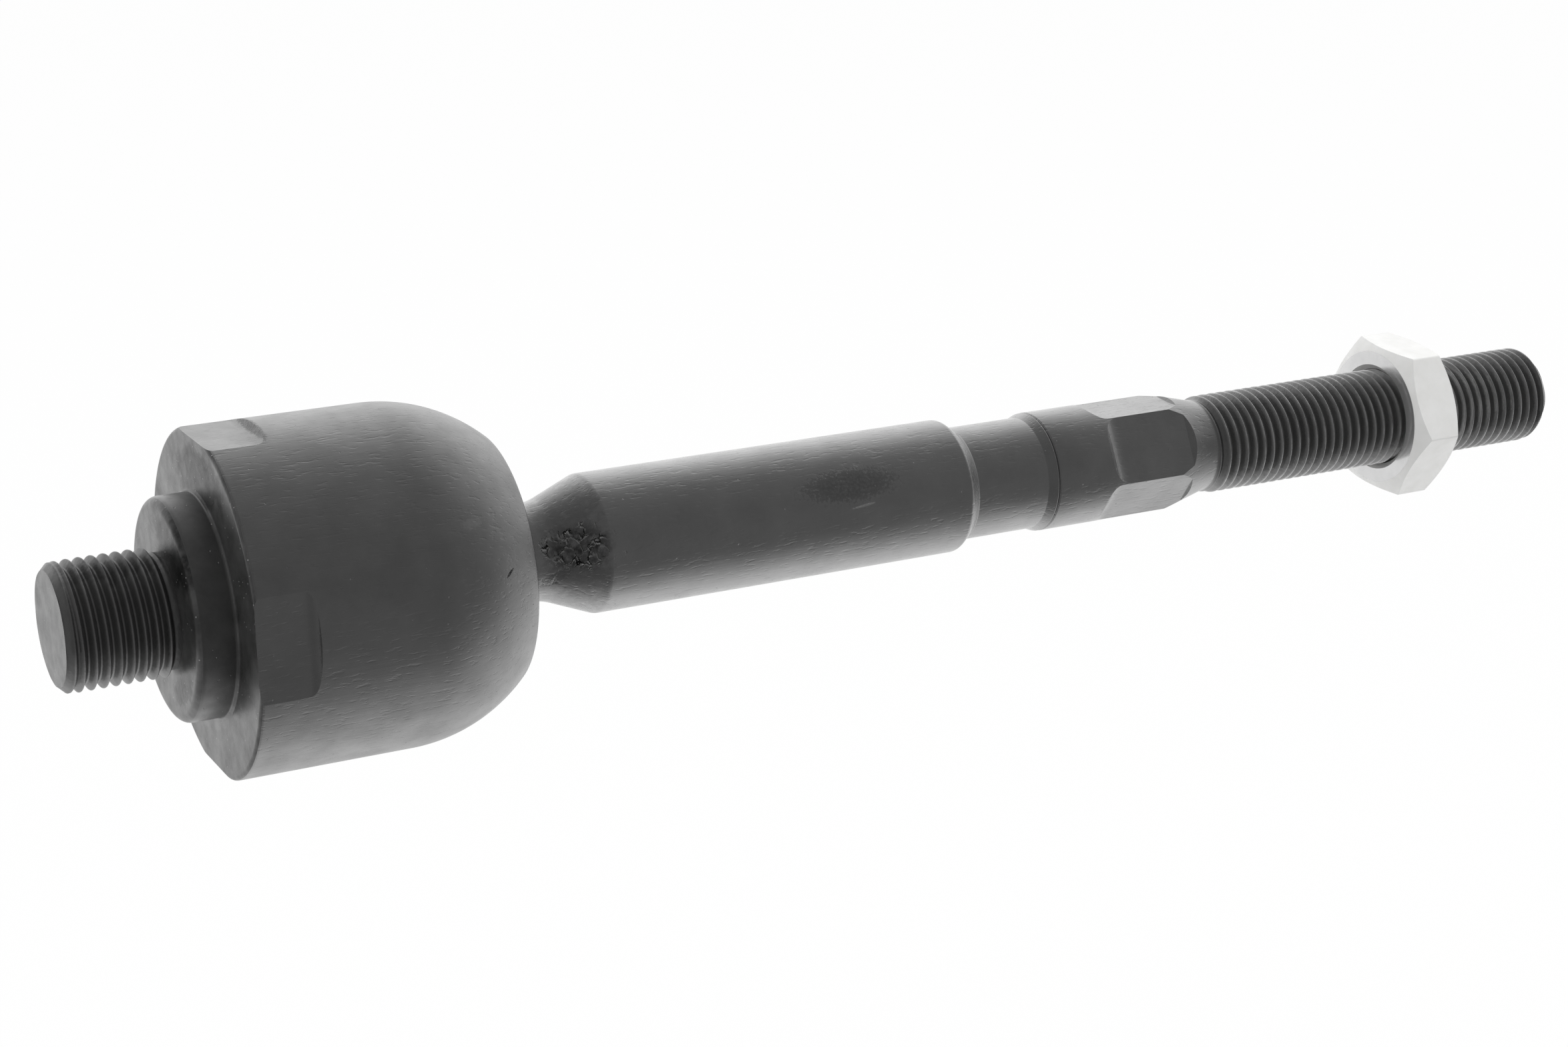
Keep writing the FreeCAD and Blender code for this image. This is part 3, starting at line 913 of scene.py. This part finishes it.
stud = thread(STUD_R, STUD_END_X, STUD_THREAD_END_X, STUD_THREAD_END_X, STUD_FADE_MM,
              STUD_BLANK_R, STUD_END_X, STUD_END_R)
fit_thread(socket_shape, stud, 0, STUD_BLANK_R, STUD_THREAD_END_X, STUD_END_X)
shade(socket_shape, lambda place: STUD_END_X + SAME < place.x < -SAME)
paint(socket_shape, socket_finish)
finish_piece(socket_shape, "socket_forging", "socket_body", "socket",
             [socket_steel, end_face_steel, stud_thread_steel, shoulder_steel])

# %% [markdown]
# The rod is the second forging: ball, neck, cone, thick shaft, boot seat, collar, wrench hexagon
# and taper. The cone was upset hot and keeps a broad fillet towards the neck. The small edges of
# the boot seat and the collar are rounded a little, because a sharp edge would catch no light at
# all.

# %% Rod: turned body
BALL_R = 14.0
NECK_R = 6.3
CONE_X = 48.15
SHAFT_X = 55.2
SHAFT_R = 9.12
SHAFT_END_X = 108.2
SEAT_X = 110.0
SEAT_R = 7.72
SEAT_END_X = 121.0
COLLAR_X = 122.3
COLLAR_R = 8.25
GROOVE_WIDTH = 0.4
GROOVE_DEPTH = 0.3
TAPER_X = 142.9
TAPER_END_X = 149.5
TAPER_END_R = 6.55
NECK_ROOT_R = 1.5
CONE_FILLET_R = 7.5
CONE_EDGE_R = 1.4
SHAFT_EDGE_R = 0.8
SEAT_FILLET_R = 0.3
COLLAR_EDGE_R = 0.12
BALL_STEPS = 48


def rod_body():
    """The closed body of the rod, with a flat cap where its thread will stand."""
    neck_reach = reach(BALL_R, NECK_R)
    pen = Pen(BALL_X - BALL_R, 0)
    pen.arc(BALL_X, 180 - math.degrees(math.asin(NECK_R / BALL_R)), BALL_STEPS)
    pen.line((CONE_X, NECK_R), (SHAFT_X, SHAFT_R), (SHAFT_END_X, SHAFT_R), (SEAT_X, SEAT_R),
             (SEAT_END_X, SEAT_R), (COLLAR_X, COLLAR_R),
             (COLLAR_X + GROOVE_WIDTH / 2, COLLAR_R - GROOVE_DEPTH),
             (COLLAR_X + GROOVE_WIDTH, COLLAR_R), (TAPER_X, COLLAR_R),
             (TAPER_END_X, TAPER_END_R), (TAPER_END_X, 0))
    pen.round(NECK_ROOT_R, (BALL_X + neck_reach, NECK_R))
    pen.round(CONE_FILLET_R, (CONE_X, NECK_R))
    pen.round(CONE_EDGE_R, (SHAFT_X, SHAFT_R))
    pen.round(SHAFT_EDGE_R, (SHAFT_END_X, SHAFT_R))
    pen.round(SEAT_FILLET_R, (SEAT_X, SEAT_R), (SEAT_END_X, SEAT_R))
    pen.round(COLLAR_EDGE_R, (COLLAR_X, COLLAR_R), (COLLAR_X + GROOVE_WIDTH, COLLAR_R),
              segments=3)
    return turned(pen.shape)


rod_shape = rod_body()
print("rod body has", len(rod_shape.faces), "faces")

# %% [markdown]
# Six flats make the wrench hexagon. Two of them are wider than the other four, so the hexagon
# isn't regular. Each starts with a run-out radius, which blends it into the collar, and ends in a
# short ramp where the tool left the metal. A wedge with these as its end faces takes off one flat,
# and it is turned to six angles. A flat is given as its level, its start and its run-out radius.

# %% Rod: wrench hexagon
HEX_END_X = 145.0
WIDE_FLAT = (6.78, 134.2, 4.0)
NARROW_FLAT = (7.32, 132.8, 3.0)
HEX_TURN_DEG = 154.6
HEX_SPACING_DEG = 62.5


def flat_wedge(level, start_x, runout_r, degrees):
    """The metal one flat takes off, round at its near end and a 45 degree ramp at its far end."""
    near_x = start_x - runout_r
    length = HEX_END_X - near_x
    wedge = bmesh.new()
    bmesh.ops.create_cube(wedge, size=1)
    bmesh.ops.scale(wedge, vec=(length, 4 * COLLAR_R, TOOL_HEIGHT), verts=wedge.verts[:])
    bmesh.ops.translate(
        wedge, vec=(near_x + length / 2, 0, level + TOOL_HEIGHT / 2), verts=wedge.verts[:])
    near_edge = [edge for edge in wedge.edges
                 if all(vertex.co.x < near_x + SAME and vertex.co.z < level + SAME
                        for vertex in edge.verts)]
    round_edges(wedge, near_edge, runout_r)
    ramp = [vertex for vertex in wedge.verts
            if vertex.co.x > HEX_END_X - SAME and vertex.co.z > level + SAME]
    bmesh.ops.translate(wedge, vec=(TOOL_HEIGHT, 0, 0), verts=ramp)
    bmesh.ops.rotate(
        wedge, cent=(0, 0, 0), verts=wedge.verts[:],
        matrix=Matrix.Rotation(math.radians(degrees - 90), 3, ROD_AXIS))
    return wedge


for half_turn in (0, 180):
    wide_deg = HEX_TURN_DEG + half_turn
    rod_shape = cut(rod_shape, flat_wedge(*WIDE_FLAT, wide_deg))
    rod_shape = cut(rod_shape, flat_wedge(*NARROW_FLAT, wide_deg - HEX_SPACING_DEG))
    rod_shape = cut(rod_shape, flat_wedge(*NARROW_FLAT, wide_deg + HEX_SPACING_DEG))
clean(rod_shape)
print("rod with hexagon has", len(rod_shape.faces), "faces")

# %% [markdown]
# The outer tie rod end screws on to an M14 thread of 1.5 mm pitch. The rolled thread rises out of
# the taper over its first turn, and its free end is chamfered so that a nut starts easily.

# %% Rod: outer thread and finish
ROD_END_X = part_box("rod")[1].x / MM
ROD_END_R = 5.7
OUTER_THREAD_X = 149.8
OUTER_FADE_MM = 1.8


def rod_finish(centre, radius, normal):
    """Material number for a face of the rod."""
    if centre.x > ROD_END_X - SAME:
        return FACED
    return THREADED if centre.x > OUTER_THREAD_X else FORGED


outer = thread(OUTER_R, OUTER_THREAD_X, ROD_END_X, OUTER_THREAD_X, OUTER_FADE_MM,
               TAPER_END_R, ROD_END_X, ROD_END_R)
fit_thread(rod_shape, outer, TAPER_END_X, TAPER_END_R, OUTER_THREAD_X, ROD_END_X)
shade(rod_shape, lambda place: TAPER_END_X - SAME < place.x < ROD_END_X - SAME)
paint(rod_shape, rod_finish)
finish_piece(rod_shape, "rod_forging", "rod_body", "rod",
             [rod_steel, end_face_steel, outer_thread_steel])

# %% [markdown]
# The jam nut is a thin hexagon whose corners were chamfered at 30 degrees on a lathe. So it is the
# common part of two shapes. The first is a hexagonal prism with slightly worn long edges.

# %% Jam nut: prism
NUT_AF = 21.0
NUT_CORNER_R = NUT_AF / 2 / math.cos(math.radians(30))
NUT_TURN_DEG = 35.2
NUT_EDGE_R = 0.2
NUT_EDGE_STEPS = 6
nut_low, nut_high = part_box("jam_nut")
NUT_X = nut_low.x / MM
NUT_END_X = nut_high.x / MM


def nut_prism():
    """The hexagonal bar that the nut was parted from."""
    prism = bmesh.new()
    bmesh.ops.create_circle(prism, cap_ends=True, segments=6, radius=NUT_CORNER_R)
    bmesh.ops.rotate(prism, cent=(0, 0, 0), verts=prism.verts[:],
                     matrix=Matrix.Rotation(math.pi / 2, 3, SECTION_NORMAL))
    first = prism.verts[:][0].co
    corner_deg = math.degrees(math.atan2(first.z, first.y))
    bmesh.ops.rotate(
        prism, cent=(0, 0, 0), verts=prism.verts[:],
        matrix=Matrix.Rotation(math.radians(30 + NUT_TURN_DEG - corner_deg), 3, ROD_AXIS))
    bmesh.ops.translate(prism, vec=(NUT_X, 0, 0), verts=prism.verts[:])
    raised = bmesh.ops.extrude_face_region(prism, geom=prism.faces[:])["geom"]
    bmesh.ops.translate(prism, vec=(NUT_END_X - NUT_X, 0, 0), verts=vertices_in(raised))
    long_edges = [edge for edge in prism.edges
                  if abs(edge.verts[0].co.x - edge.verts[1].co.x) > SAME]
    round_edges(prism, long_edges, NUT_EDGE_R, NUT_EDGE_STEPS)
    bmesh.ops.recalc_face_normals(prism, faces=prism.faces[:])
    return prism


# %% [markdown]
# The second is a turned ring with both chamfers, the bore and its countersinks. The arcs on the
# flats come out of the two shapes' common part by themselves.

# %% Jam nut: ring and finish
NUT_FACE_R = 9.7
NUT_BORE_R = 7.06
NUT_COUNTERSINK = 0.7
NUT_CHAMFER_DEG = 30
RIM_STEPS = 4
RING_MARGIN = 0.01
DULL, BRIGHT = 0, 1


def nut_ring():
    """The turned ring: two chamfers outside, the bore and its countersinks inside."""
    over_r = NUT_CORNER_R + RING_MARGIN
    drop = (over_r - NUT_FACE_R) * math.tan(math.radians(NUT_CHAMFER_DEG))
    sink_r = NUT_BORE_R + NUT_COUNTERSINK
    pen = Pen(NUT_X, sink_r)
    pen.line((NUT_X, NUT_FACE_R), (NUT_X + drop, over_r), (NUT_END_X - drop, over_r),
             (NUT_END_X, NUT_FACE_R), (NUT_END_X, sink_r),
             (NUT_END_X - NUT_COUNTERSINK, NUT_BORE_R), (NUT_X + NUT_COUNTERSINK, NUT_BORE_R))
    pen.close()
    pen.round(NUT_EDGE_R, (NUT_X, NUT_FACE_R), (NUT_END_X, NUT_FACE_R), segments=RIM_STEPS)
    return turned(pen.shape)


def nut_finish(centre, radius, normal):
    """Material number for a face of the nut."""
    return BRIGHT if abs(normal.x) > SQUARE_ON else DULL


nut_shape = cut(nut_prism(), nut_ring(), "INTERSECT")
clean(nut_shape)
shade(nut_shape, lambda place: False)
paint(nut_shape, nut_finish)
finish_piece(nut_shape, "zinc_jam_nut", "nut_body", "jam_nut",
             [dull_zinc, bright_zinc])

# %% [markdown]
# The stage is a plain pale floor well below the part, so no contact shadow falls in view, as in
# the photograph. The camera sees it as a plain white glow and all other rays see matt paper, so
# the light on the part isn't raised for it. It takes no part in reflections.

# %% Floor
FLOOR_Z = -0.12
FLOOR_SIZE = 12.0
GLOW_SHARE = 0.97


def floor_material():
    """Matt white paper that reads as plain white to the camera."""
    material, tree, _ = new_material("white_paper_floor")
    paper = add(tree, "ShaderNodeBsdfDiffuse", {"Color": linear("#e6e6e6")}).outputs[0]
    glow = add(tree, "ShaderNodeEmission", {
        "Color": linear("#ffffff"), "Strength": 1.0}).outputs[0]
    seen = add(tree, "ShaderNodeLightPath").outputs["Is Camera Ray"]
    share = add(tree, "ShaderNodeMath", {0: seen, 1: GLOW_SHARE}, operation="MULTIPLY").outputs[0]
    mixed = add(tree, "ShaderNodeMixShader", {0: share, 1: paper, 2: glow}).outputs[0]
    add(tree, "ShaderNodeOutputMaterial", {"Surface": mixed})
    return material


floor_mesh = bpy.data.meshes.new("floor")
floor_shape = bmesh.new()
bmesh.ops.create_grid(floor_shape, x_segments=1, y_segments=1, size=FLOOR_SIZE / 2)
bmesh.ops.translate(floor_shape, vec=(0, 0, FLOOR_Z), verts=floor_shape.verts[:])
floor_shape.to_mesh(floor_mesh)
floor_mesh.materials.append(floor_material())
floor = link_object("floor", floor_mesh)
floor.visible_glossy = False
print("floor", FLOOR_SIZE, "m wide, at height", FLOOR_Z)

# %% [markdown]
# Bare metal is lit by what it mirrors, so the room matters more than any lamp. The room here is a
# white studio that is dark on the side where the photograph was taken from: the middle of each
# round surface mirrors that dark side and goes deep grey, and its edges mirror the white walls.
# The room is fixed to the world, so other views show the same room. The dark side is centred a
# little above the camera, the wall that the rod points at is a third darker at the level of the
# part, and the room is brighter high up than near its floor. Matt surfaces are lit evenly, at a
# level where a colour renders about as written.

# %% Studio light
ROOM_LEVELS = ((0, 0.11), (40, 0.12), (58, 0.145), (72, 0.17), (84, 0.24), (94, 0.36), (104, 0.53),
               (116, 0.73), (128, 0.96), (140, 1.0), (180, 1.0))
DARK_SIDE_RISE = 0.11
DARK_SIDE = (TO_CAMERA + DARK_SIDE_RISE * CAMERA_UP).normalized()
END_WALL_LEVEL = 0.64
END_WALL_FROM, END_WALL_TO = 0.5, 0.8
OFF_LEVEL_FROM, OFF_LEVEL_TO = 0.15, 0.45
LOW_LEVEL, HIGH_LEVEL = 0.92, 1.12
LOW_Z, HIGH_Z = -0.5, -0.1
EVEN_LEVEL = 0.68

world = bpy.data.worlds.new("studio")
world.use_nodes = True
bpy.context.scene.world = world
tree = world.node_tree
tree.nodes.clear()
direction = add(tree, "ShaderNodeTexCoord").outputs["Generated"]
facing = add(tree, "ShaderNodeVectorMath", {0: direction, 1: tuple(DARK_SIDE)},
             operation="DOT_PRODUCT").outputs["Value"]
away = add(tree, "ShaderNodeMapRange", {
    "Value": facing, "From Min": 1.0, "From Max": -1.0}).outputs[0]
room = add(tree, "ShaderNodeValToRGB", {"Fac": away})
room.color_ramp.interpolation = "LINEAR"
stops = room.color_ramp.elements
while len(stops) > 1:
    stops.remove(stops[-1])
for count, (degrees, level) in enumerate(ROOM_LEVELS):
    position = (1 - math.cos(math.radians(degrees))) / 2
    stop = stops[0] if count == 0 else stops.new(position)
    stop.position = position
    stop.color = (level, level, level, 1.0)
parts = add(tree, "ShaderNodeSeparateXYZ", {"Vector": direction})
off_level = add(tree, "ShaderNodeMath", {0: parts.outputs["Z"]}, operation="ABSOLUTE").outputs[0]
end_level = add(tree, "ShaderNodeMapRange", {
    "Value": off_level, "From Min": OFF_LEVEL_FROM, "From Max": OFF_LEVEL_TO,
    "To Min": END_WALL_LEVEL, "To Max": 1.0}).outputs[0]
end_wall = add(tree, "ShaderNodeMapRange", {
    "Value": parts.outputs["X"], "From Min": END_WALL_FROM, "From Max": END_WALL_TO,
    "To Min": 1.0, "To Max": end_level}).outputs[0]
height = add(tree, "ShaderNodeMapRange", {
    "Value": parts.outputs["Z"], "From Min": LOW_Z, "From Max": HIGH_Z,
    "To Min": LOW_LEVEL, "To Max": HIGH_LEVEL}).outputs[0]
brightness = add(tree, "ShaderNodeMath", {0: end_wall, 1: height},
                 operation="MULTIPLY").outputs[0]
ray = add(tree, "ShaderNodeLightPath")
even = add(tree, "ShaderNodeBackground", {"Color": linear("#ffffff"), "Strength": EVEN_LEVEL})
mirrored = add(tree, "ShaderNodeBackground", {"Color": room.outputs[0], "Strength": brightness})
seen = add(tree, "ShaderNodeBackground", {"Color": linear("#ffffff"), "Strength": 1.0})
lit = add(tree, "ShaderNodeMixShader", {
    0: ray.outputs["Is Glossy Ray"], 1: even.outputs[0], 2: mirrored.outputs[0]})
shown = add(tree, "ShaderNodeMixShader", {
    0: ray.outputs["Is Camera Ray"], 1: lit.outputs[0], 2: seen.outputs[0]})
add(tree, "ShaderNodeOutputWorld", {"Surface": shown.outputs[0]})
print("room with", len(stops), "levels")

# %% [markdown]
# One wide soft lamp overhead lifts the tops of matt surfaces a little. Metal doesn't mirror it.

# %% Lamp and view
LAMP_SIZE = 1.2
LAMP_WATTS = 12.0
LAMP_PLACE = (0.1, -0.3, 1.2)
lamp_data = bpy.data.lights.new("overhead_softbox", "AREA")
lamp_data.shape = "SQUARE"
lamp_data.size = LAMP_SIZE
lamp_data.energy = LAMP_WATTS
lamp = link_object("overhead_softbox", lamp_data)
lamp.matrix_world = Matrix.Translation(LAMP_PLACE)
lamp.visible_glossy = False
print("lamp of", LAMP_WATTS, "W")

bpy.context.scene.view_settings.view_transform = "Standard"
